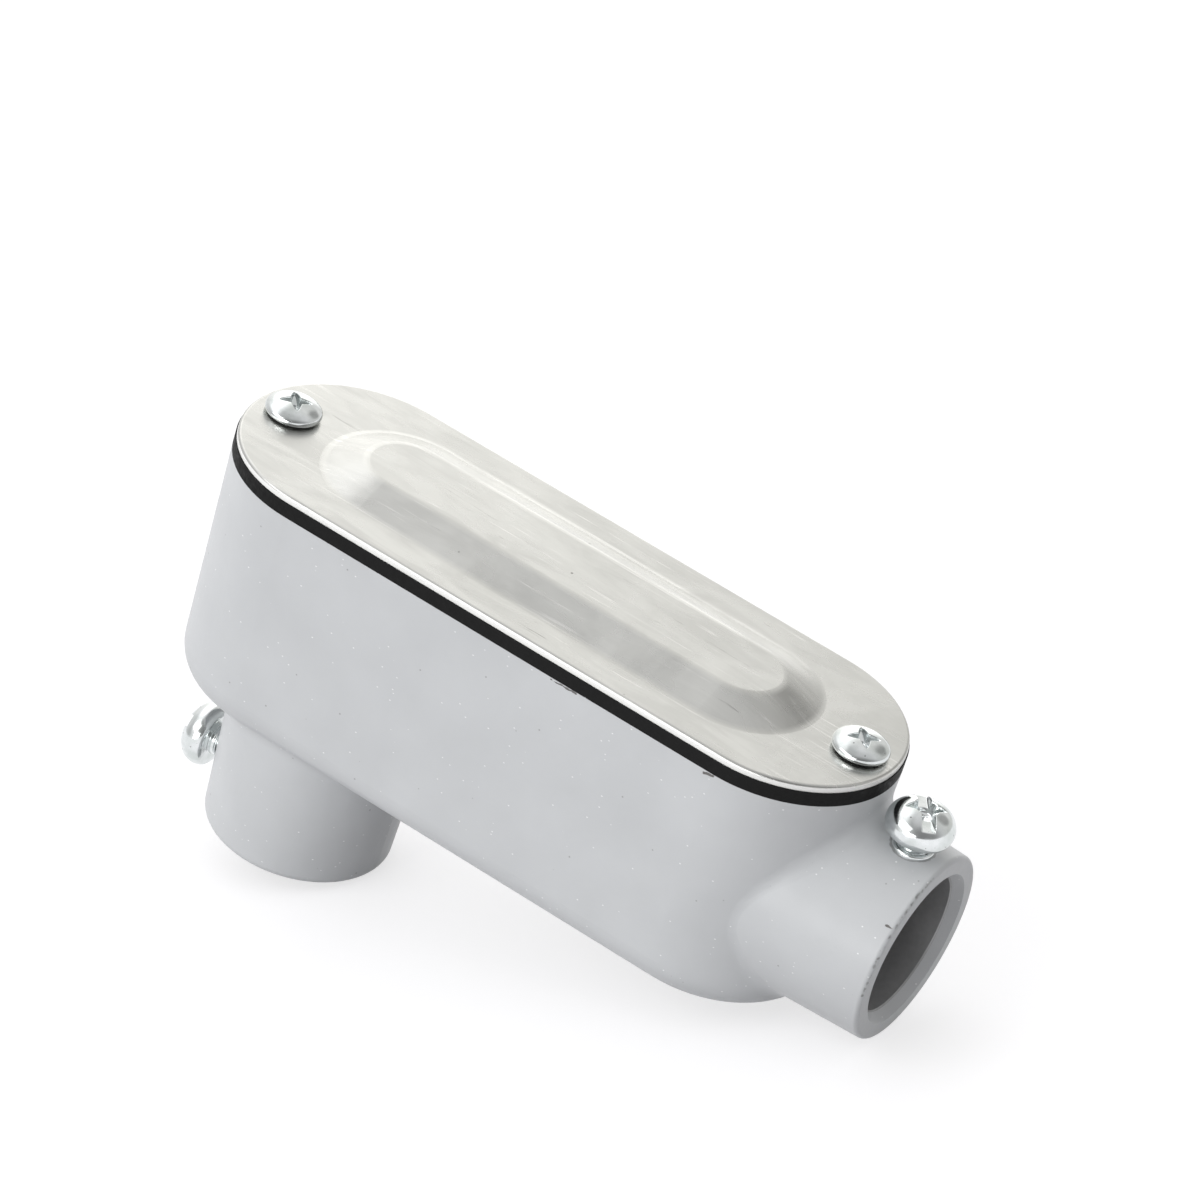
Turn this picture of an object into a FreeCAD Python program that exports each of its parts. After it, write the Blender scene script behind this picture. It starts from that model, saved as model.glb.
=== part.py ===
"""LB conduit body for 1/2 in. EMT with set-screw hubs.

A die-cast housing with a hub on its end and a hub on its back, closed by a stamped
cover on a rubber gasket. Two screws hold the cover, and one set screw in each hub
grips the conduit. Units are millimetres. The origin is the centre of the back hub's
socket: +Z points out through the cover and +X out through the end hub.
"""
import FreeCAD, Part
import math
import os

V = FreeCAD.Vector
OVERCUT = 1.0               # how far a cutting solid runs past the face it opens
TOUCHING = 1e-4

# ---- driving dimensions -------------------------------------------------------------
# conduit that both hubs take, and the hub walls around it
CONDUIT_DIAMETER = 17.93
CONDUIT_CLEARANCE = 0.25    # radial
LEAD_IN_WIDTH = 1.0         # taper at each hub's mouth that guides the conduit in
LEAD_IN_DEPTH = 1.4
THROAT_STEP = 1.3           # tube stop, radial
END_HUB_WALL = 3.3          # at the mouth
BACK_HUB_WALL = 2.9
HUB_DRAFT = 2.2             # degrees
HUB_ROOT_FILLET = 2.6

# housing casting: a box with half-round ends, as wide and deep as its end hub asks
LENGTH = 93.8
HUB_TO_SIDE = 2.98          # end hub's outside at its mouth, in from the box's side
HUB_TO_FLOOR = 2.4          # and up from the outside of the floor
HUB_TO_RIM = 5.2            # and down from the gasket face
WALL = 2.3
FLOOR = 2.4
DRAFT = 1.0                 # degrees, walls lean inwards going down
BOTTOM_ROUND = 4.5
CHAMBER_ROUND = 1.8

GASKET = 1.9

# cover: stamped sheet with a raised oblong panel
SHEET = 0.9
SHEET_EDGE_ROUND = 0.4
COVER_INSET = 0.15          # cover's outline inside the box's
PANEL_TO_SIDE = 5.2         # flat margin between the panel and the cover's outline
PANEL_TO_END = 11.75
PANEL_HEIGHT = 2.0
PANEL_SLOPE_RUN = 4.9
PANEL_CREASE = 2.4

END_HUB_REACH = 10.1        # mouth beyond the outline's end
END_HUB_EDGE_ROUND = 0.6
END_SOCKET_DEPTH = 11.3
BACK_HUB_LENGTH = 18.6      # below the floor
BACK_HUB_EDGE_ROUND = 1.2
BACK_HUB_INSET = 21.2       # hub axis in from the outline's end
BACK_SOCKET_DEPTH = 15.5

# cover screws, size 6-32
COVER_SCREW_INSET = 4.95
COVER_SCREW_RADIUS = 1.75
COVER_HEAD_RADIUS = 3.6
COVER_HEAD_HEIGHT = 2.1
COVER_SCREW_ENGAGEMENT = 6.0
POST_WALL = 1.8
POST_FLOOR = 1.3
TIP_ROOM = 1.0              # hole below a cover screw's tip

# set screws, size 8-32
END_SET_SCREW_INSET = 4.8   # screw axis in from the hub's mouth
BACK_SET_SCREW_INSET = 5.2
SET_SCREW_RADIUS = 2.08
SET_HEAD_RADIUS = 4.3
SET_HEAD_HEIGHT = 4.0
END_HEAD_GAP = 1.8          # under the end screw's head, screw backed off
BACK_HEAD_GAP = 1.9
SET_TIP_RECESS = 0.15       # tip short of the bore's wall

SCREW_CLEARANCE = 0.06      # radial, in every hole a shank turns in
COVER_HOLE_CLEARANCE = 0.1
TIP_CHAMFER = 0.4
HEAD_TURN = -51             # degrees, how the slots happen to stand
HEAD_DOME_RATIO = 0.78      # round over the head, of its height
SLOT_DEPTH_RATIO = 0.42     # of the head's height
RECESS_DEPTH_RATIO = 0.66
RECESS_SPAN_RATIO = 0.62    # of the head's radius
RECESS_BLADE_RATIO = 0.26
RECESS_TAPER = 0.45         # floor of the recess against its mouth

# ---- places worked out from the sizes -----------------------------------------------
BORE_RADIUS = CONDUIT_DIAMETER / 2 + CONDUIT_CLEARANCE
THROAT_RADIUS = BORE_RADIUS - THROAT_STEP
END_HUB_RADIUS = BORE_RADIUS + END_HUB_WALL
BACK_HUB_RADIUS = BORE_RADIUS + BACK_HUB_WALL
WIDTH = 2 * (END_HUB_RADIUS + HUB_TO_SIDE)
DEPTH = 2 * END_HUB_RADIUS + HUB_TO_FLOOR + HUB_TO_RIM
COVER_LENGTH = LENGTH - 2 * COVER_INSET
COVER_WIDTH = WIDTH - 2 * COVER_INSET
PANEL_LENGTH = COVER_LENGTH - 2 * PANEL_TO_END
PANEL_WIDTH = COVER_WIDTH - 2 * PANEL_TO_SIDE

MIDDLE = LENGTH / 2 - BACK_HUB_INSET
BACK_MOUTH_Z = -(LEAD_IN_DEPTH + BACK_SOCKET_DEPTH) / 2
FLOOR_Z = BACK_MOUTH_Z + BACK_HUB_LENGTH
RIM_Z = FLOOR_Z + DEPTH
GASKET_TOP = RIM_Z + GASKET
COVER_TOP = GASKET_TOP + SHEET

END_MOUTH_X = MIDDLE + LENGTH / 2 + END_HUB_REACH
END_AXIS_Z = FLOOR_Z + HUB_TO_FLOOR + END_HUB_RADIUS

COVER_SCREW_X = {
    "cover_screw_back": MIDDLE - LENGTH / 2 + COVER_SCREW_INSET,
    "cover_screw_end": MIDDLE + LENGTH / 2 - COVER_SCREW_INSET,
}
COVER_SCREW_LENGTH = SHEET + GASKET + COVER_SCREW_ENGAGEMENT
POST_HOLE_DEPTH = COVER_SCREW_ENGAGEMENT + TIP_ROOM
POST_HOLE_RADIUS = COVER_SCREW_RADIUS + SCREW_CLEARANCE
POST_RADIUS = POST_HOLE_RADIUS + POST_WALL
SET_HOLE_RADIUS = SET_SCREW_RADIUS + SCREW_CLEARANCE
HUB_LEAN = math.tan(math.radians(HUB_DRAFT))
END_HEAD_SEAT = END_HUB_RADIUS + END_SET_SCREW_INSET * HUB_LEAN + END_HEAD_GAP
BACK_HEAD_SEAT = BACK_HUB_RADIUS + BACK_SET_SCREW_INSET * HUB_LEAN + BACK_HEAD_GAP
SET_SCREW_LENGTH = min(END_HEAD_SEAT, BACK_HEAD_SEAT) - BORE_RADIUS - SET_TIP_RECESS


# ---- section helpers ----------------------------------------------------------------
def section(corners):
    """Face in the XZ plane from corners (r, z, round). Each round is an arc tangent to both sides."""
    points = [V(r, 0, z) for r, z, _ in corners]
    edges = []
    starts = []
    ends = []
    for index, (_, _, radius) in enumerate(corners):
        here = points[index]
        before = (points[index - 1] - here).normalize()
        after = (points[(index + 1) % len(points)] - here).normalize()
        if radius == 0:
            starts.append(here)
            ends.append(here)
            continue
        half_angle = before.getAngle(after) / 2
        setback = radius / math.tan(half_angle)
        centre = here + (before + after).normalize() * (radius / math.sin(half_angle))
        middle = centre + (here - centre).normalize() * radius
        starts.append(here + before * setback)
        ends.append(here + after * setback)
        edges.append(Part.Arc(starts[-1], middle, ends[-1]).toShape())
    for index in range(len(points)):
        leave = ends[index]
        arrive = starts[(index + 1) % len(points)]
        if leave.distanceToPoint(arrive) > TOUCHING:
            edges.append(Part.LineSegment(leave, arrive).toShape())
    return Part.Face(Part.Wire(Part.__sortEdges__(edges)))


def turned(corners):
    """Solid of revolution about Z from a half section."""
    return section(corners).revolve(V(0, 0, 0), V(0, 0, 1), 360)


def oblong(corners, straight, centre_x):
    """The half section run along the straight sides and round both half-round ends."""
    half = section(corners)
    near = half.rotated(V(0, 0, 0), V(0, 0, 1), -90).translated(V(centre_x - straight / 2, 0, 0))
    solids = [near.extrude(V(straight, 0, 0))]
    far = half.rotated(V(0, 0, 0), V(0, 0, 1), 90).translated(V(centre_x - straight / 2, 0, 0))
    solids.append(far.extrude(V(straight, 0, 0)))
    for side in (-1, 1):
        axis = V(centre_x + side * straight / 2, 0, 0)
        face = half.rotated(V(0, 0, 0), V(0, 0, 1), -90 * side).translated(axis)
        solids.append(face.revolve(axis, V(0, 0, 1), 180))
    return solids[0].multiFuse(solids[1:]).removeSplitter()


def oblong_prism(length, width, low, high):
    half = width / 2
    return oblong([(0, low, 0), (half, low, 0), (half, high, 0), (0, high, 0)], length - width, MIDDLE)


def cylinder(radius, low, high, x):
    return Part.makeCylinder(radius, high - low, V(x, 0, low), V(0, 0, 1))


# ---- hubs: made mouth down at the origin, rising along +Z, with the set screw towards -X ---
def to_back_hub(shape):
    return shape.translated(V(0, 0, BACK_MOUTH_Z))


def to_end_hub(shape):
    """Lay a hub on its side, so that its mouth faces +X and its set screw +Z."""
    faced = shape.rotated(V(0, 0, 0), V(0, 0, 1), 180).rotated(V(0, 0, 0), V(0, 1, 0), -90)
    return faced.translated(V(END_MOUTH_X, 0, END_AXIS_Z))


def hub_blank(radius, edge_round, height):
    return turned([(0, 0, 0), (radius, 0, edge_round), (radius + height * HUB_LEAN, height, 0), (0, height, 0)])


def hub_bore(socket_depth, height):
    """What the conduit and its wires pass through: socket, tube stop and throat."""
    return turned([
        (0, -LEAD_IN_DEPTH, 0),
        (BORE_RADIUS + 2 * LEAD_IN_WIDTH, -LEAD_IN_DEPTH, 0),
        (BORE_RADIUS, LEAD_IN_DEPTH, 0),
        (BORE_RADIUS, socket_depth, 0),
        (THROAT_RADIUS, socket_depth, 0),
        (THROAT_RADIUS, height, 0),
        (0, height, 0),
    ])


# ---- pieces -------------------------------------------------------------------------
def shell_block():
    """Outside of the wire box before the hubs are joined on."""
    lean = DEPTH * math.tan(math.radians(DRAFT))
    corners = [
        (0, RIM_Z, 0),
        (WIDTH / 2, RIM_Z, 0),
        (WIDTH / 2 - lean, FLOOR_Z, BOTTOM_ROUND),
        (0, FLOOR_Z, 0),
    ]
    return oblong(corners, LENGTH - WIDTH, MIDDLE)


def chamber():
    """Room for the wires, less the two screw posts that stand against its end walls."""
    half_width = WIDTH / 2 - WALL
    depth = DEPTH - FLOOR
    lean = depth * math.tan(math.radians(DRAFT))
    corners = [
        (0, RIM_Z + OVERCUT, 0),
        (half_width, RIM_Z + OVERCUT, 0),
        (half_width, RIM_Z, 0),
        (half_width - lean, RIM_Z - depth, CHAMBER_ROUND),
        (0, RIM_Z - depth, 0),
    ]
    room = oblong(corners, LENGTH - WIDTH, MIDDLE)
    post_bottom = RIM_Z - POST_HOLE_DEPTH - POST_FLOOR
    posts = [cylinder(POST_RADIUS, post_bottom, RIM_Z + 2 * OVERCUT, x) for x in COVER_SCREW_X.values()]
    return room.cut(posts)


def set_screw_hole(inset):
    return Part.makeCylinder(SET_HOLE_RADIUS, WIDTH, V(0, 0, inset), V(-1, 0, 0))


def join_hub(block, hub):
    """Fuse a hub to the box and run a casting fillet round the joint."""
    seam = block.section(hub)
    joined = block.fuse(hub).removeSplitter()
    edges = []
    for edge in joined.Edges:
        middle = edge.valueAt((edge.FirstParameter + edge.LastParameter) / 2)
        if seam.distToShape(Part.Vertex(middle))[0] < TOUCHING:
            edges.append(edge)
    return joined.makeFillet(HUB_ROOT_FILLET, edges)


def make_housing():
    end_run = END_HUB_REACH + WIDTH / 2
    back_run = BACK_HUB_LENGTH + FLOOR
    casting = join_hub(shell_block(), to_end_hub(hub_blank(END_HUB_RADIUS, END_HUB_EDGE_ROUND, end_run)))
    casting = join_hub(casting, to_back_hub(hub_blank(BACK_HUB_RADIUS, BACK_HUB_EDGE_ROUND, back_run)))
    cuts = [
        chamber(),
        to_end_hub(hub_bore(END_SOCKET_DEPTH, end_run)),
        to_back_hub(hub_bore(BACK_SOCKET_DEPTH, back_run + OVERCUT)),
        to_end_hub(set_screw_hole(END_SET_SCREW_INSET)),
        to_back_hub(set_screw_hole(BACK_SET_SCREW_INSET)),
    ]
    for x in COVER_SCREW_X.values():
        cuts.append(cylinder(POST_HOLE_RADIUS, RIM_Z - POST_HOLE_DEPTH, RIM_Z + OVERCUT, x))
    return casting.cut(cuts).removeSplitter()


def make_gasket():
    ring = oblong_prism(LENGTH, WIDTH, RIM_Z, GASKET_TOP)
    low = RIM_Z - OVERCUT
    high = GASKET_TOP + OVERCUT
    window = oblong_prism(LENGTH - 2 * WALL, WIDTH - 2 * WALL, low, high)
    eyes = [cylinder(POST_RADIUS, low - OVERCUT, high + OVERCUT, x) for x in COVER_SCREW_X.values()]
    holes = [cylinder(POST_HOLE_RADIUS, low, high, x) for x in COVER_SCREW_X.values()]
    return ring.cut([window.cut(eyes)] + holes)


def pressed_sheet():
    """Sheet with the raised panel and its rounded creases, of any outline beyond the panel."""
    half = PANEL_WIDTH / 2
    rise = [(half, 0, PANEL_CREASE), (half - PANEL_SLOPE_RUN, PANEL_HEIGHT, PANEL_CREASE), (0, PANEL_HEIGHT, 0)]
    upper = [(r, GASKET_TOP + SHEET + z, round_) for r, z, round_ in rise]
    lower = [(r, GASKET_TOP + z, round_) for r, z, round_ in reversed(rise)]
    corners = [(WIDTH, GASKET_TOP, 0), (WIDTH, COVER_TOP, 0)] + upper + lower
    return oblong(corners, PANEL_LENGTH - PANEL_WIDTH, MIDDLE)


def make_cover():
    half = COVER_WIDTH / 2
    inner = PANEL_WIDTH / 2 + PANEL_CREASE
    panel_top = COVER_TOP + PANEL_HEIGHT
    blank = oblong([
        (0, GASKET_TOP, 0),
        (half, GASKET_TOP, 0),
        (half, COVER_TOP, SHEET_EDGE_ROUND),
        (inner, COVER_TOP, 0),
        (inner, panel_top, 0),
        (0, panel_top, 0),
    ], COVER_LENGTH - COVER_WIDTH, MIDDLE)
    hole_radius = COVER_SCREW_RADIUS + COVER_HOLE_CLEARANCE
    low = GASKET_TOP - OVERCUT
    high = COVER_TOP + OVERCUT
    holes = [cylinder(hole_radius, low, high, x) for x in COVER_SCREW_X.values()]
    return blank.common(pressed_sheet()).cut(holes)


def driver_recess(head_radius, head_height):
    """Combination recess: a Phillips cross that narrows towards its floor, and a slot right across."""
    blade = head_radius * RECESS_BLADE_RATIO
    mouth = head_radius * RECESS_SPAN_RATIO
    floor = mouth * RECESS_TAPER
    low = head_height * (1 - RECESS_DEPTH_RATIO)
    corners = [(-mouth, head_height), (-floor, low), (floor, low), (mouth, head_height), (-mouth, head_height)]
    side = Part.Face(Part.makePolygon([V(x, 0, z) for x, z in corners]))
    wing = side.extrude(V(0, blade, 0)).translated(V(0, -blade / 2, 0))
    slot_depth = head_height * SLOT_DEPTH_RATIO
    corner = V(-head_radius, -blade / 2, head_height - slot_depth)
    slot = Part.makeBox(2 * head_radius, blade, slot_depth, corner)
    return wing.fuse([wing.rotated(V(0, 0, 0), V(0, 0, 1), 90), slot])


def pan_head_screw(head_radius, head_height, shank_radius, shank_length):
    """Screw with the underside of its head at the origin and its shank along -Z."""
    body = turned([
        (0, -shank_length, 0),
        (shank_radius - TIP_CHAMFER, -shank_length, 0),
        (shank_radius, TIP_CHAMFER - shank_length, 0),
        (shank_radius, 0, 0),
        (head_radius, 0, 0),
        (head_radius, head_height, HEAD_DOME_RATIO * head_height),
        (0, head_height, 0),
    ])
    return body.cut(driver_recess(head_radius, head_height)).rotated(V(0, 0, 0), V(0, 0, 1), HEAD_TURN)


def make_cover_screw(x):
    screw = pan_head_screw(COVER_HEAD_RADIUS, COVER_HEAD_HEIGHT, COVER_SCREW_RADIUS, COVER_SCREW_LENGTH)
    return screw.translated(V(x, 0, COVER_TOP))


def make_set_screw(seat, inset):
    """Set screw in a hub that stands mouth down, the underside of its head at a distance towards -X."""
    screw = pan_head_screw(SET_HEAD_RADIUS, SET_HEAD_HEIGHT, SET_SCREW_RADIUS, SET_SCREW_LENGTH)
    return screw.rotated(V(0, 0, 0), V(0, 1, 0), -90).translated(V(-seat, 0, inset))


def main():
    pieces = {"housing": make_housing(), "gasket": make_gasket(), "cover": make_cover()}
    for name, x in COVER_SCREW_X.items():
        pieces[name] = make_cover_screw(x)
    pieces["set_screw_back"] = to_back_hub(make_set_screw(BACK_HEAD_SEAT, BACK_SET_SCREW_INSET))
    pieces["set_screw_end"] = to_end_hub(make_set_screw(END_HEAD_SEAT, END_SET_SCREW_INSET))
    os.makedirs("parts", exist_ok=True)
    for name, shape in pieces.items():
        print(name, "valid" if shape.isValid() else "INVALID", len(shape.Solids), round(shape.Volume, 2))
        shape.exportStep(f"parts/{name}.step")


main()
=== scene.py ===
"""Looks of an LB conduit body: enamelled casting, brushed cover, rubber gasket and zinc screws."""

import math
from functools import partial

import bpy
from mathutils import Matrix, Vector


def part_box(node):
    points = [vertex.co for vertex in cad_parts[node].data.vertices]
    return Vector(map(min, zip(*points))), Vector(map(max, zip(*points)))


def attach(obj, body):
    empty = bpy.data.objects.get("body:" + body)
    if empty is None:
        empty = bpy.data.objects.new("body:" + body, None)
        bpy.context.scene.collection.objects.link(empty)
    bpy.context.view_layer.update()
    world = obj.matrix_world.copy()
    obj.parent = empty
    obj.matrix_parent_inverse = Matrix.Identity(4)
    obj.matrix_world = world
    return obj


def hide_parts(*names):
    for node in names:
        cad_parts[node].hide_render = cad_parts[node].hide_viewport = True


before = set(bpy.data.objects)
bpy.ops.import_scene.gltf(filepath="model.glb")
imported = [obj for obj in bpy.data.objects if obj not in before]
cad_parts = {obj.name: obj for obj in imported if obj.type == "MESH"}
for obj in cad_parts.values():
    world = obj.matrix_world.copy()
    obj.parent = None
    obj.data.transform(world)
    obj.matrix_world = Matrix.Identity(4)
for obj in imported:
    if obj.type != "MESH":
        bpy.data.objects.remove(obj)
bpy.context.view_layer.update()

MM = 0.001
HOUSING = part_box("housing")
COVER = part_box("cover")
MIDDLE = (COVER[0] + COVER[1]) / 2


# ---- node helpers ---------------------------------------------------------------------
class Tree:
    """A node tree, built a line at a time."""

    def __init__(self, tree):
        self.tree = tree

    def node(self, kind, inputs=None, **settings):
        made = self.tree.nodes.new(kind)
        for key, value in settings.items():
            setattr(made, key, value)
        for key, value in (inputs or {}).items():
            self.set(made, key, value)
        return made

    def set(self, node, key, value):
        if isinstance(value, bpy.types.NodeSocket):
            self.tree.links.new(value, node.inputs[key])
        else:
            node.inputs[key].default_value = value

    def place(self):
        return self.node("ShaderNodeTexCoord").outputs["Object"]

    def stretched(self, vector, scale):
        return self.node("ShaderNodeMapping", {"Vector": vector, "Scale": scale}).outputs["Vector"]

    def noise(self, vector, scale, detail=2.0, roughness=0.5, distortion=0.0):
        made = self.node("ShaderNodeTexNoise", {
            "Vector": vector, "Scale": scale, "Detail": detail,
            "Roughness": roughness, "Distortion": distortion,
        })
        return made.outputs["Fac"]

    def specks(self, vector, scale, size, share):
        """Round specks in a share of the cells of a grid of that scale."""
        cells = self.node("ShaderNodeTexVoronoi", {"Vector": vector, "Scale": scale})
        spot = self.remap(cells.outputs["Distance"], size * 0.7, size, 1.0, 0.0)
        chosen = self.node("ShaderNodeSeparateColor", {"Color": cells.outputs["Color"]}).outputs["Red"]
        return self.math("MULTIPLY", spot, self.math("LESS_THAN", chosen, share))

    def remap(self, value, low, high, to_low, to_high, curve="LINEAR"):
        made = self.node("ShaderNodeMapRange", {
            "Value": value, "From Min": low, "From Max": high, "To Min": to_low, "To Max": to_high,
        }, interpolation_type=curve)
        return made.outputs["Result"]

    def math(self, operation, first, second=0.0):
        return self.node("ShaderNodeMath", {0: first, 1: second}, operation=operation).outputs[0]

    def mix(self, factor, first, second):
        made = self.node("ShaderNodeMix", data_type="RGBA")
        self.set(made, "Factor", factor)
        for socket, value in ((made.inputs[6], first), (made.inputs[7], second)):
            if isinstance(value, bpy.types.NodeSocket):
                self.tree.links.new(value, socket)
            else:
                socket.default_value = (*value, 1.0)
        return made.outputs[2]

    def mix_value(self, factor, first, second):
        made = self.node("ShaderNodeMix", {"Factor": factor}, data_type="FLOAT")
        self.set(made, 2, first)
        self.set(made, 3, second)
        return made.outputs[0]

    def bump(self, height, distance, strength=1.0, under=None):
        made = self.node("ShaderNodeBump", {"Height": height, "Distance": distance, "Strength": strength})
        if under is not None:
            self.tree.links.new(under, made.inputs["Normal"])
        return made.outputs["Normal"]


class Maker(Tree):
    """A material of its own, with its node tree and its shader."""

    def __init__(self, name):
        self.material = bpy.data.materials.new(name)
        self.material.use_nodes = True
        super().__init__(self.material.node_tree)
        self.shader = self.tree.nodes["Principled BSDF"]

    def shade(self, **inputs):
        for key, value in inputs.items():
            self.set(self.shader, key.replace("_", " "), value)


def grey(value):
    return (value, value, value)


def to_linear(value):
    value /= 255
    return value / 12.92 if value <= 0.04045 else ((value + 0.055) / 1.055) ** 2.4


def srgb(red, green, blue):
    return (to_linear(red), to_linear(green), to_linear(blue))


# ---- places on the part, in millimetres -----------------------------------------------
END_AXIS_Z = 25.065      # axis of the end hub
END_SCREW_X = 77.9       # axis of the end hub's set screw
BACK_SCREW_Z = -3.25     # axis of the back hub's set screw
COVER_TOP = 45.58        # flat of the cover, which its two screws sit on

# ---- materials ------------------------------------------------------------------------
BORE = 9.35 * MM         # bare inside this radius, a little wider than the sockets
END_BORE_FROM_X = 61.2 * MM
BACK_BORE_UP_TO_Z = 10.2 * MM
BARE_HOLE = 2.9 * MM     # bare ring round each set screw
RIM_X = 82.45 * MM       # crest of the end hub's outer rim: place along the hub, and radius
RIM_R = 12.2 * MM
CHIPS = [  # worn through to the metal: from, to, half width, all in millimetres
    ((82.3, -9.7, 32.9), (81.5, -9.8, 32.9), 0.1),
    ((82.4, -11.1, 30.4), (82.0, -11.3, 29.9), 0.14),
    ((82.5, -11.9, 27.6), (82.3, -12.1, 26.6), 0.13),
    ((1.5, -12.1, -8.3), (3.4, -11.7, -8.45), 0.24),
    ((34.0, -15.45, 42.5), (37.5, -15.45, 42.6), 0.12),
    ((56.0, -15.45, 42.3), (57.2, -15.4, 42.6), 0.16),
]


def near_line(m, at, start, end):
    """Distance from a straight line between two points."""
    start, end = Vector(start) * MM, Vector(end) * MM
    along = end - start

    def vector(operation, inputs, output="Vector"):
        return m.node("ShaderNodeVectorMath", inputs, operation=operation).outputs[output]

    away = vector("SUBTRACT", {0: at, 1: start})
    share = vector("DOT_PRODUCT", {0: away, 1: along / along.length_squared}, "Value")
    share = m.math("MINIMUM", m.math("MAXIMUM", share, 0.0), 1.0)
    nearest = vector("SCALE", {0: along, "Scale": share})
    return vector("DISTANCE", {0: away, 1: nearest}, "Value")


def from_axis(m, first, second):
    """Distance from an axis, from the two distances square to it."""
    return m.math("SQRT", m.math("ADD", m.math("MULTIPLY", first, first), m.math("MULTIPLY", second, second)))


def enamel():
    """Baked light grey enamel on a casting: orange peel, specks, chips, and bare metal in the bores."""
    m = Maker("grey_enamel")
    at = m.place()
    cloud = m.noise(at, 90.0, 3.0)
    fine = m.noise(at, 1400.0, 2.0)
    tone = m.mix(m.remap(cloud, 0.3, 0.7, 0.0, 1.0), srgb(197, 199, 201), srgb(203, 205, 207))
    tone = m.mix(m.math("MULTIPLY", m.specks(at, 700.0, 0.1, 0.1), 0.5), tone, srgb(120, 120, 120))
    tone = m.mix(m.specks(m.stretched(at, (1.0, 1.0, 1.4)), 900.0, 0.13, 0.25), tone, srgb(233, 234, 235))

    split = m.node("ShaderNodeSeparateXYZ", {"Vector": at}).outputs
    end_z = m.math("SUBTRACT", split["Z"], END_AXIS_Z * MM)
    end_bore = m.math("MULTIPLY", m.math("LESS_THAN", from_axis(m, split["Y"], end_z), BORE),
                      m.math("GREATER_THAN", split["X"], END_BORE_FROM_X))
    back_bore = m.math("MULTIPLY", m.math("LESS_THAN", from_axis(m, split["X"], split["Y"]), BORE),
                       m.math("LESS_THAN", split["Z"], BACK_BORE_UP_TO_Z))
    ragged = m.remap(fine, 0.3, 0.7, -0.1 * MM, 0.1 * MM)
    end_ring = from_axis(m, m.math("SUBTRACT", split["X"], END_SCREW_X * MM), split["Y"])
    end_ring = m.math("MULTIPLY", m.math("LESS_THAN", m.math("ADD", end_ring, ragged), BARE_HOLE),
                      m.math("GREATER_THAN", end_z, 0.0))
    back_ring = from_axis(m, split["Y"], m.math("SUBTRACT", split["Z"], BACK_SCREW_Z * MM))
    back_ring = m.math("MULTIPLY", m.math("LESS_THAN", m.math("ADD", back_ring, ragged), BARE_HOLE),
                       m.math("LESS_THAN", split["X"], 0.0))
    bare = m.math("MAXIMUM", m.math("MAXIMUM", end_bore, back_bore), m.math("MAXIMUM", end_ring, back_ring))

    off_rim = m.math("SUBTRACT", from_axis(m, split["Y"], end_z), RIM_R)
    rim = from_axis(m, m.math("SUBTRACT", split["X"], RIM_X), off_rim)
    patchy = m.remap(m.noise(at, 320.0, 2.0), 0.4, 0.46, 0.0, 0.9)
    chip = m.math("MULTIPLY", m.remap(m.math("ADD", rim, ragged), 0.1 * MM, 0.2 * MM, 0.75, 0.0), patchy)
    chip = m.math("MULTIPLY", chip, m.math("LESS_THAN", split["Y"], -1.5 * MM))
    chip = m.math("MULTIPLY", chip, m.math("GREATER_THAN", end_z, -1.0 * MM))
    for start, end, half_width in CHIPS:
        edge = m.math("ADD", near_line(m, at, start, end), ragged)
        chip = m.math("MAXIMUM", chip, m.remap(edge, half_width * MM * 0.8, half_width * MM, 1.0, 0.0))
    cast = m.mix(fine, srgb(158, 158, 159), srgb(176, 176, 177))
    tone = m.mix(bare, tone, cast)
    tone = m.mix(chip, tone, srgb(112, 111, 109))
    gone = m.math("MAXIMUM", bare, chip)
    peel = m.bump(m.noise(at, 700.0, 2.0), 0.00004)
    rough = m.mix_value(gone, m.remap(fine, 0.3, 0.7, 0.34, 0.42), 0.42)
    m.shade(Base_Color=tone, Roughness=rough, Metallic=m.math("MULTIPLY", gone, 0.4),
            Normal=m.bump(m.math("SUBTRACT", 1.0, chip), 0.0001, under=peel))
    m.shader.inputs["Specular IOR Level"].default_value = 0.3
    return m.material


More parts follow.
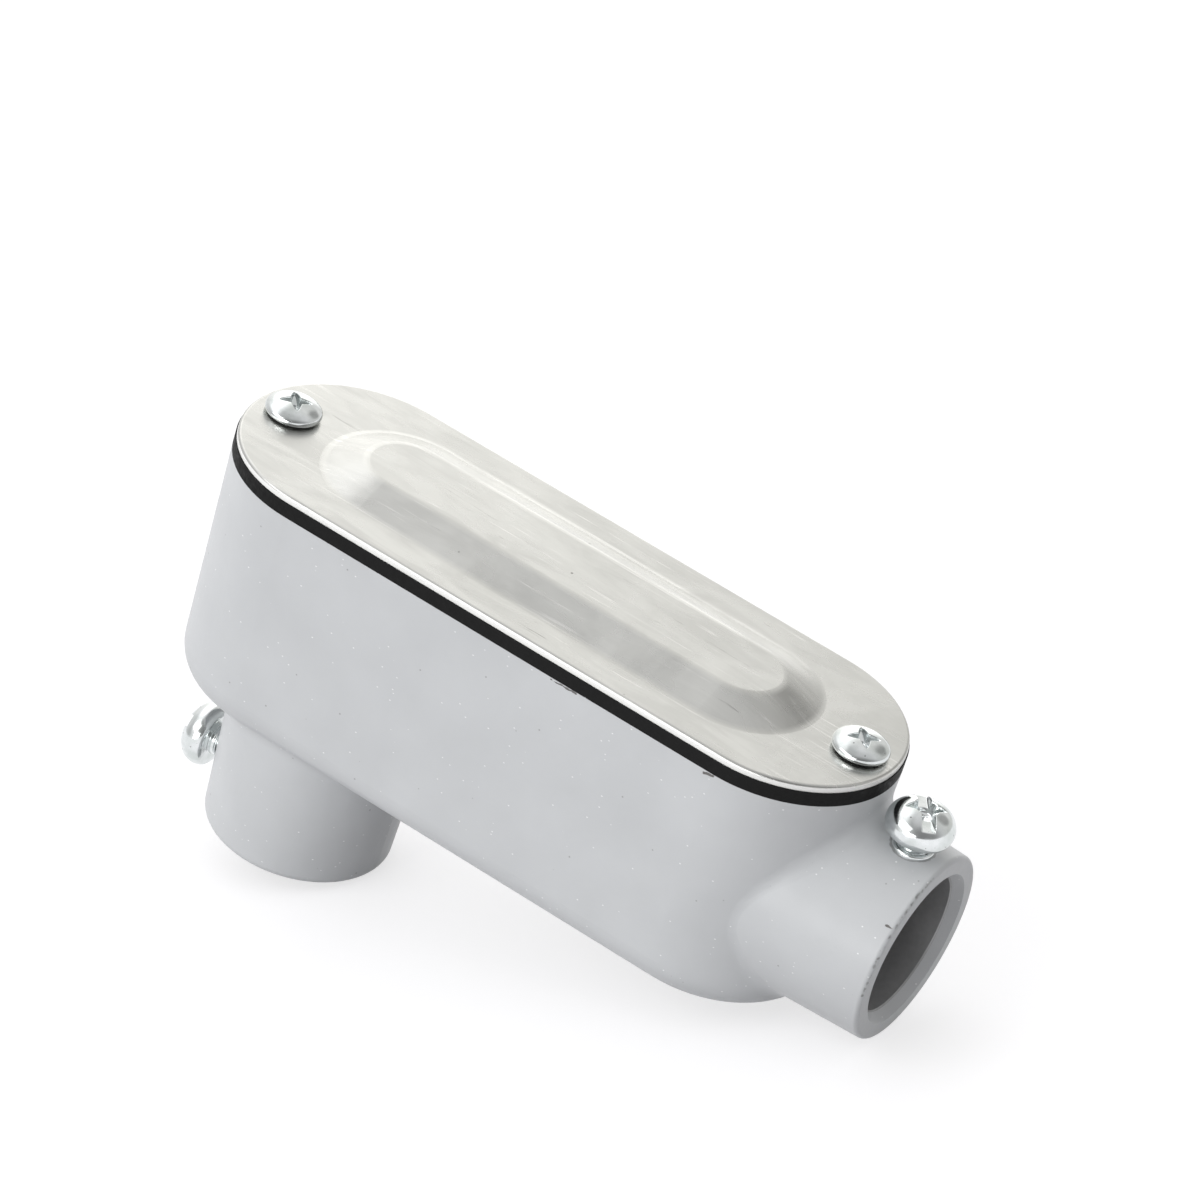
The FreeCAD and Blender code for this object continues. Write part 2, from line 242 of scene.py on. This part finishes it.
def aluminium():
    """Bare stamped sheet: faintly brushed, clouded, lightly scratched; its cut edge is dull, and near white
    as a painted highlight along the edge.
    """
    m = Maker("cover_aluminium")
    at = m.place()
    grain = m.noise(m.stretched(at, (120.0, 1500.0, 600.0)), 1.0, 3.0)
    cloud = m.remap(m.noise(at, 75.0, 4.0, 0.6, 0.6), 0.35, 0.65, 0.0, 1.0)
    smear = m.remap(m.noise(m.stretched(at, (90.0, 330.0, 200.0)), 1.0, 3.0, 0.6, 0.8), 0.4, 0.65, 0.0, 1.0)
    patch = m.remap(m.noise(at, 160.0), 0.42, 0.58, 0.0, 1.0)
    bright = m.remap(m.noise(m.stretched(at, (40.0, 1400.0, 400.0)), 1.0, 4.0, 0.7, 0.3), 0.6, 0.64, 0.0, 1.0)
    bright = m.math("MULTIPLY", bright, patch)
    dark = m.remap(m.noise(m.stretched(at, (60.0, 900.0, 300.0)), 1.0, 4.0, 0.75, 0.5), 0.34, 0.31, 0.0, 1.0)
    dark = m.math("MULTIPLY", dark, m.math("SUBTRACT", 1.0, patch))
    tone = m.mix(cloud, srgb(194, 194, 191), srgb(207, 207, 204))
    tone = m.mix(m.math("MULTIPLY", smear, 0.4), tone, srgb(185, 185, 182))
    tone = m.mix(m.math("MULTIPLY", bright, 0.5), tone, srgb(228, 227, 225))
    tone = m.mix(m.math("MULTIPLY", dark, 0.45), tone, srgb(120, 118, 115))
    tone = m.mix(m.math("MULTIPLY", m.specks(at, 420.0, 0.1, 0.12), 0.6), tone, srgb(100, 99, 95))
    rough = m.math("ADD", m.remap(cloud, 0.0, 1.0, 0.18, 0.3), m.math("MULTIPLY", smear, 0.06))
    height = m.math("ADD", grain, m.math("MULTIPLY", m.math("SUBTRACT", smear, bright), 0.5))
    level = m.node("ShaderNodeSeparateXYZ", {"Vector": at}).outputs["Z"]
    # Below the flat lies the cut edge: dull like real cut metal, and painted near white, a painted highlight
    # for the bright line along the cover's edge.
    sheared_edge_and_highlight = m.remap(level, COVER_TOP * MM - 0.34 * MM, COVER_TOP * MM - 0.26 * MM, 1.0, 0.0)
    m.shade(Base_Color=m.mix(sheared_edge_and_highlight, tone, srgb(243, 243, 241)), Roughness=m.mix_value(sheared_edge_and_highlight, rough, 0.45),
            Metallic=m.remap(sheared_edge_and_highlight, 0.0, 1.0, 1.0, 0.15), Normal=m.bump(height, 0.000008))
    m.shader.inputs["Anisotropic"].default_value = 0.3
    return m.material


def rubber():
    """Black sheet rubber with a dusting of pale crumbs along its cut edge."""
    m = Maker("gasket_rubber")
    at = m.place()
    grain = m.noise(at, 1500.0, 3.0)
    crumb = m.math("MULTIPLY", m.specks(at, 800.0, 0.1, 0.08), 0.7)
    tone = m.mix(crumb, m.mix(grain, grey(0.003), grey(0.008)), grey(0.5))
    m.shader.inputs["Specular IOR Level"].default_value = 0.15
    m.shade(Base_Color=tone, Roughness=m.remap(grain, 0.3, 0.7, 0.5, 0.7), Normal=m.bump(grain, 0.00008))
    return m.material


def zinc():
    """Bright zinc plating: faintly mottled, cooler and greener in random patches, with tiny pits."""
    m = Maker("screw_zinc")
    at = m.place()
    grain = m.noise(at, 1200.0, 3.0)
    cloud = m.noise(at, 420.0, 2.0)
    pit = m.specks(at, 1500.0, 0.16, 0.15)
    tone = m.mix(m.remap(cloud, 0.35, 0.65, 0.0, 1.0), srgb(208, 213, 212), srgb(232, 235, 236))
    tone = m.mix(pit, tone, srgb(120, 124, 122))
    m.shade(Base_Color=tone, Roughness=m.remap(grain, 0.3, 0.7, 0.1, 0.2),
            Normal=m.bump(m.math("SUBTRACT", cloud, pit), 0.00002))
    m.shader.inputs["Metallic"].default_value = 1.0
    return m.material


MATERIALS = {
    "housing": enamel(),
    "cover": aluminium(),
    "gasket": rubber(),
}
ZINC = zinc()
for name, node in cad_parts.items():
    node.data.materials.clear()
    node.data.materials.append(MATERIALS.get(name, ZINC))
    node.data.polygons.foreach_set("use_smooth", [True] * len(node.data.polygons))
    node.data.update()


# ---- screws ---------------------------------------------------------------------------
PITCH = 0.79
THREAD_DEPTH = 0.4
BARE_NECK = 0.5             # shank without thread under the head
THREAD_FADE = 0.6           # and the length over which the thread then deepens
TIP_CHAMFER = 0.45
HEAD_STEPS = 240            # points round the head, and rings over its top
HEAD_RINGS = 84
SHANK_STEPS = 60            # points round the shank, and rings in one turn of the thread
RINGS_PER_PITCH = 12
TURN = math.radians(-51.0)  # how far round every recess is turned
COVER_SHANK = (1.75, 8.8)   # radius and length below the seat
SET_SHANK = (2.08, 4.85)

# Half profile of each head in millimetres: radius and height, from the top to the neck.
COVER_HEAD = [(0, 2.08), (0.9, 2.05), (1.8, 1.92), (2.6, 1.68), (3.15, 1.36), (3.45, 1.1),
              (3.58, 0.82), (3.6, 0.6), (3.52, 0.38), (3.3, 0.24), (2.7, 0.2), (1.9, 0.2)]
SET_HEAD = [(0, 4.15), (1.0, 4.1), (2.0, 3.91), (2.9, 3.52), (3.6, 2.98), (4.1, 2.25),
            (4.3, 1.45), (4.24, 0.75), (3.95, 0.15), (3.5, -0.17), (2.9, -0.3), (2.3, -0.3)]


def smooth_curve(points, steps):
    """Catmull-Rom curve through the points."""
    made = []
    ends = [points[0]] + points + [points[-1]]
    for i in range(len(points) - 1):
        p0, p1, p2, p3 = (Vector(p) for p in ends[i:i + 4])
        for j in range(steps):
            t = j / steps
            made.append(0.5 * (2 * p1 + (p2 - p0) * t + (2 * p0 - 5 * p1 + 4 * p2 - p3) * t * t
                               + (3 * p1 - p0 - 3 * p2 + p3) * t ** 3))
    made.append(Vector(points[-1]))
    return made


def smooth_min(first, second, width):
    share = max(width - abs(first - second), 0.0) / width
    return min(first, second) - share * share * width / 4


def cross_height(u, v, top, radius):
    """Floor and walls of a plain cross recess, as a height."""
    reach = 0.54 * radius
    height = top + 9.0
    for along, across in ((abs(u), abs(v)), (abs(v), abs(u))):
        edge = max(across - 0.46 * max(1.0 - along / reach, 0.0) ** 0.55 - 0.02, along - reach)
        height = smooth_min(height, top - 1.45 + 0.42 * along + 4.5 * max(edge, 0.0), 0.12)
    core = math.hypot(u, v) - 0.55
    return smooth_min(height, top - 1.5 + 4.5 * max(core, 0.0), 0.12)


def slot_height(u, v, top, radius):
    """Floor and walls of a slot along u with cross blades along v, as a height."""
    size = radius / 4.3
    slot = abs(v) - (0.62 + 0.35 * (u / radius) ** 2) * size
    slot_floor = top - 1.25 * size
    blade_end = 2.45 * size
    blade = abs(u) - 0.8 * size * max(1.0 - abs(v) / blade_end, 0.0) ** 0.7 - 0.02
    blade = max(blade, abs(v) - blade_end)
    blade_floor = top - (2.3 - 0.6 * abs(v) / size) * size
    core = math.hypot(u, v) - 1.2 * size
    core_floor = top - 2.1 * size + 0.2 * math.hypot(u, v) ** 2 / size
    height = top + 9.0
    for edge, floor, steep in ((slot, slot_floor, 6.0), (blade, blade_floor, 5.0), (core, core_floor, 4.0)):
        height = smooth_min(height, floor + steep * max(edge, 0.0), 0.16 * size)
    return height


def screw_mesh(name, head, recess_height, shank_radius, shank_length):
    """Head with its recess, and a threaded shank, turned round Z with the head's seat at zero."""
    top, widest = head[0][1], max(radius for radius, _ in head)
    vertices, faces = [(0, 0, recess_height(0, 0, top, widest))], []

    def add_ring(steps, point):
        first = len(vertices)
        vertices.extend(point(2 * math.pi * i / steps) for i in range(steps))
        return list(range(first, first + steps))

    def join_rings(upper, lower):
        """Wall between two rings; the lower one may have fewer points."""
        share = len(upper) // len(lower)
        for i in range(len(lower)):
            here, there = lower[i], lower[(i + 1) % len(lower)]
            run = [upper[(i * share + j) % len(upper)] for j in range(share + 1)]
            if share == 1:
                faces.append((run[0], here, there, run[1]))
                continue
            half = share // 2
            faces.extend((run[j], here, run[j + 1]) for j in range(half))
            faces.append((run[half], here, there))
            faces.extend((run[j], there, run[j + 1]) for j in range(half, share))

    curve = smooth_curve(head, 10)
    rings, widest_at = [], max(range(len(curve)), key=lambda i: curve[i][0])
    lengths = [0.0]  # the top is divided evenly, for the recess
    for before, after in zip(curve, curve[1:widest_at + 1]):
        lengths.append(lengths[-1] + (after - before).length)
    samples, at = [], 0
    for i in range(1, HEAD_RINGS + 1):
        wanted = lengths[-1] * i / HEAD_RINGS
        while at < len(lengths) - 2 and lengths[at + 1] < wanted:
            at += 1
        share = (wanted - lengths[at]) / (lengths[at + 1] - lengths[at])
        samples.append(curve[at].lerp(curve[at + 1], min(share, 1.0)))

    def recessed(radius, height, angle):
        x, y = radius * math.cos(angle), radius * math.sin(angle)
        u = x * math.cos(TURN) + y * math.sin(TURN)
        v = -x * math.sin(TURN) + y * math.cos(TURN)
        return (x, y, smooth_min(height, recess_height(u, v, top, widest), 0.1))

    def plain(radius, height, angle):
        return (radius * math.cos(angle), radius * math.sin(angle), height)

    for radius, height in samples:
        rings.append(add_ring(HEAD_STEPS, partial(recessed, radius, height)))
    for radius, height in curve[widest_at + 1::2]:
        rings.append(add_ring(HEAD_STEPS, partial(plain, radius, height)))
    faces.extend((0, rings[0][i], rings[0][(i + 1) % HEAD_STEPS]) for i in range(HEAD_STEPS))

    rows = math.ceil(shank_length / PITCH * RINGS_PER_PITCH)
    neck = curve[-1][1]

    def threaded(z, angle):
        phase = (z / PITCH - angle / (2 * math.pi)) % 1.0
        cut = THREAD_DEPTH * min(1.0, max(0.0, 1.25 * (1 - abs(2 * phase - 1)) - 0.1))
        cut *= min(1.0, max(0.0, (neck - z - BARE_NECK) / THREAD_FADE))
        cap = min(shank_radius, shank_radius - TIP_CHAMFER + (z + shank_length))
        radius = min(cap, shank_radius - cut)
        return (radius * math.cos(angle), radius * math.sin(angle), z)

    for i in range(rows + 1):
        z = neck - (neck + shank_length) * i / rows
        rings.append(add_ring(SHANK_STEPS, partial(threaded, z)))
    for upper, lower in zip(rings, rings[1:]):
        join_rings(upper, lower)
    vertices.append((0, 0, -shank_length))
    last = rings[-1]
    faces.extend((len(vertices) - 1, last[(i + 1) % SHANK_STEPS], last[i]) for i in range(SHANK_STEPS))

    mesh = bpy.data.meshes.new(name)
    mesh.from_pydata([(x * MM, y * MM, z * MM) for x, y, z in vertices], [], faces)
    mesh.polygons.foreach_set("use_smooth", [True] * len(mesh.polygons))
    mesh.update()
    return mesh


def add_screw(node, head, recess_height, shank, seat, turn=Matrix.Identity(4)):
    """Detailed screw in the place of its CAD node, riding on the same body."""
    mesh = screw_mesh(node + "_detail", head, recess_height, *shank)
    mesh.transform(Matrix.Translation(Vector(seat) * MM) @ turn)
    mesh.materials.append(ZINC)
    piece = bpy.data.objects.new(node + "_detail", mesh)
    bpy.context.scene.collection.objects.link(piece)
    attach(piece, node)
    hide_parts(node)


BOSS_RADIUS = 2.7
BOSS_INSIDE = 2.2
BOSS_SUNK = -1.2


def add_boss(name, seat, height, turn=Matrix.Identity(4)):
    """Low bare boss round a tapped hole, sunk into the hub below it."""
    radius, inside = BOSS_RADIUS, BOSS_INSIDE
    profile = [(inside, BOSS_SUNK), (inside, height - 0.1), (inside + 0.12, height),
               (radius - 0.3, height), (radius - 0.08, height - 0.1), (radius, height - 0.32),
               (radius, BOSS_SUNK)]
    steps = 96
    angles = [2 * math.pi * i / steps for i in range(steps)]
    vertices = [(r * math.cos(angle) * MM, r * math.sin(angle) * MM, z * MM)
                for r, z in profile for angle in angles]
    faces = []
    for row in range(len(profile)):
        here, there = row * steps, (row + 1) % len(profile) * steps
        faces.extend((here + i, here + (i + 1) % steps, there + (i + 1) % steps, there + i)
                     for i in range(steps))
    mesh = bpy.data.meshes.new(name)
    mesh.from_pydata(vertices, [], faces)
    mesh.flip_normals()
    mesh.polygons.foreach_set("use_smooth", [True] * len(mesh.polygons))
    mesh.transform(Matrix.Translation(Vector(seat) * MM) @ turn)
    mesh.materials.append(ZINC)
    piece = bpy.data.objects.new(name, mesh)
    bpy.context.scene.collection.objects.link(piece)
    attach(piece, "housing")


for node, x in (("cover_screw_back", -16.25), ("cover_screw_end", 67.65)):
    add_screw(node, COVER_HEAD, cross_height, COVER_SHANK, (x, 0, COVER_TOP))
TO_MINUS_X = Matrix.Rotation(math.radians(-90), 4, "Y")
add_boss("end_boss", (END_SCREW_X, 0, END_AXIS_Z + 12.6), 0.4)
add_screw("set_screw_end", SET_HEAD, slot_height, SET_SHANK, (END_SCREW_X, 0, END_AXIS_Z + 14.499))
# The back screw's head is flat below and its boss lower, because it travels further in.
BACK_HEAD = [(radius, max(height, 0.0)) for radius, height in SET_HEAD]
add_boss("back_boss", (-12.3, 0, BACK_SCREW_Z), 0.2, TO_MINUS_X)
add_screw("set_screw_back", BACK_HEAD, slot_height, SET_SHANK, (-14.215, 0, BACK_SCREW_Z), TO_MINUS_X)


# ---- studio ---------------------------------------------------------------------------
# The body leans on the mouth edge of its back hub and the mouth of its end hub.
BACK_HUB_RADIUS = 12.1 * MM
END_HUB_BOTTOM = 12.6 * MM
BACK_CONTACT = Vector((BACK_HUB_RADIUS, 0, HOUSING[0][2]))
END_CONTACT = Vector((HOUSING[1][0], 0, END_HUB_BOTTOM))
LEAN = math.atan2(END_CONTACT.z - BACK_CONTACT.z, END_CONTACT.x - BACK_CONTACT.x)
FLOOR_TURN = Matrix.Rotation(-LEAN, 4, "Y")


FLOOR_COLOUR = (0.43, 0.427, 0.44, 1)
FLOOR_GLOW = 0.66           # with the light on it, white to the camera and in reflections


def add_floor():
    """Pale floor under the leaning body, which hides nothing when it is seen from below."""
    size = 3.0
    mesh = bpy.data.meshes.new("floor")
    corners = [(-size, -size, 0), (size, -size, 0), (size, size, 0), (-size, size, 0)]
    mesh.from_pydata(corners, [], [(0, 1, 2, 3)])
    floor = bpy.data.objects.new("floor", mesh)
    bpy.context.scene.collection.objects.link(floor)
    floor.matrix_world = Matrix.Translation(BACK_CONTACT) @ FLOOR_TURN
    m = Maker("floor_white")
    nodes = m.tree.nodes
    output = nodes["Material Output"]
    nodes.remove(m.shader)
    diffuse = m.node("ShaderNodeBsdfDiffuse", {"Color": FLOOR_COLOUR})
    glow = m.node("ShaderNodeEmission", {"Color": (1, 1, 1, 1)})
    path = m.node("ShaderNodeLightPath")
    seen = m.math("MAXIMUM", path.outputs["Is Camera Ray"], path.outputs["Is Glossy Ray"])
    m.tree.links.new(m.math("MULTIPLY", seen, FLOOR_GLOW), glow.inputs["Strength"])
    both = m.node("ShaderNodeAddShader")
    m.tree.links.new(diffuse.outputs[0], both.inputs[0])
    m.tree.links.new(glow.outputs[0], both.inputs[1])
    clear = m.node("ShaderNodeBsdfTransparent")
    behind = m.node("ShaderNodeNewGeometry").outputs["Backfacing"]
    one_sided = m.node("ShaderNodeMixShader", {"Fac": behind})
    m.tree.links.new(both.outputs[0], one_sided.inputs[1])
    m.tree.links.new(clear.outputs[0], one_sided.inputs[2])
    m.tree.links.new(one_sided.outputs[0], output.inputs["Surface"])
    mesh.materials.append(m.material)


FAR_TINT = (1, 0.993, 0.968)
DARK_CARDS = (  # direction, cosines where the card starts and is full, light left in its middle
    ((0.4, 0.75, 0.5), 0.94, 0.99, 0.5),
    ((0.8, -0.55, 0.1), 0.5, 0.95, 0.6),
)


def add_world():
    """Pale surroundings, dimmer towards the camera (-Y) and brightest in a band on the left (-X).

    DARK_CARDS dim two patches of them. The camera itself sees plain white.
    """
    world = bpy.data.worlds.new("studio")
    bpy.context.scene.world = world
    world.use_nodes = True
    t = Tree(world.node_tree)
    background = t.tree.nodes["Background"]

    def ramp(value, low, high, to_low, to_high):
        return t.remap(value, low, high, to_low, to_high, "SMOOTHSTEP")

    facing = t.node("ShaderNodeTexCoord").outputs["Generated"]
    level = t.node("ShaderNodeVectorRotate", {"Vector": facing, "Angle": LEAN}, rotation_type="Y_AXIS")
    split = t.node("ShaderNodeSeparateXYZ", {"Vector": level.outputs[0]}).outputs
    light = ramp(split["Y"], -0.8, 0.5, 0.55, 0.98)
    light = t.math("MULTIPLY", light, ramp(split["X"], -0.3, -0.03, 1.75, 0.82))
    # dimmer again beyond that band, so that the cover doesn't clip when it is seen from the end hub
    light = t.math("MULTIPLY", light, ramp(split["X"], -0.8, -0.5, 0.55, 1.0))
    light = t.math("MULTIPLY", light, ramp(split["X"], 0.1, 0.9, 1.0, 0.85))
    for toward, edge, heart, left in DARK_CARDS:
        card = t.node("ShaderNodeVectorMath", {0: level.outputs[0], 1: Vector(toward).normalized()},
                      operation="DOT_PRODUCT").outputs["Value"]
        light = t.math("MULTIPLY", light, ramp(card, edge, heart, 1.0, left))
    path = t.node("ShaderNodeLightPath").outputs
    seen = t.math("MAXIMUM", path["Is Camera Ray"], path["Is Transmission Ray"])
    t.set(background, "Strength", t.mix_value(seen, light, 1.0))
    warm = t.mix(ramp(split["Y"], 0.2, 0.7, 0.0, 1.0), (1, 1, 1), FAR_TINT)
    t.set(background, "Color", t.mix(seen, warm, (1, 1, 1)))


def add_softbox(name, azimuth, elevation, distance, width, height, power):
    """Softbox at an azimuth (0 is -Y, 90 is +X) and elevation above the leaning floor."""
    a, e = math.radians(azimuth), math.radians(elevation)
    back = Vector((math.sin(a) * math.cos(e), -math.cos(a) * math.cos(e), math.sin(e)))
    back = FLOOR_TURN.to_3x3() @ back
    lamp = bpy.data.lights.new(name, "AREA")
    lamp.shape = "RECTANGLE"
    lamp.size = width
    lamp.size_y = height
    lamp.energy = power
    lamp_object = bpy.data.objects.new(name, lamp)
    bpy.context.scene.collection.objects.link(lamp_object)
    lamp_object.rotation_mode = "QUATERNION"
    lamp_object.rotation_quaternion = back.to_track_quat("Z", "Y")
    lamp_object.location = MIDDLE + back * distance


AZIMUTH, ELEVATION, ROLL = (math.radians(angle) for angle in (23.183, 32.633, 17.690))
LOOKED_AT = Vector((25.663, 10.539, 37.766)) * MM
DISTANCE = 0.7314


def add_camera():
    """At the photograph's angle: azimuth, elevation and roll round the point looked at."""
    back = Vector((math.sin(AZIMUTH) * math.cos(ELEVATION), -math.cos(AZIMUTH) * math.cos(ELEVATION),
                   math.sin(ELEVATION)))
    camera = bpy.data.cameras.new("camera")
    camera.sensor_width = 36.0
    camera.lens = 180.0
    camera.clip_start = 0.01
    camera.clip_end = 100.0
    camera_object = bpy.data.objects.new("camera", camera)
    bpy.context.scene.collection.objects.link(camera_object)
    turn = back.to_track_quat("Z", "Y").to_matrix() @ Matrix.Rotation(ROLL, 3, "Z")
    camera_object.matrix_world = Matrix.Translation(LOOKED_AT + back * DISTANCE) @ turn.to_4x4()
    bpy.context.scene.camera = camera_object


add_floor()
add_world()
add_softbox("key_left", -22, 38, 2.5, 2.0, 1.5, 15.0)
add_softbox("front", 0, 7, 2.5, 1.6, 1.0, 27.0)
add_camera()

bpy.context.scene.view_settings.view_transform = "Standard"
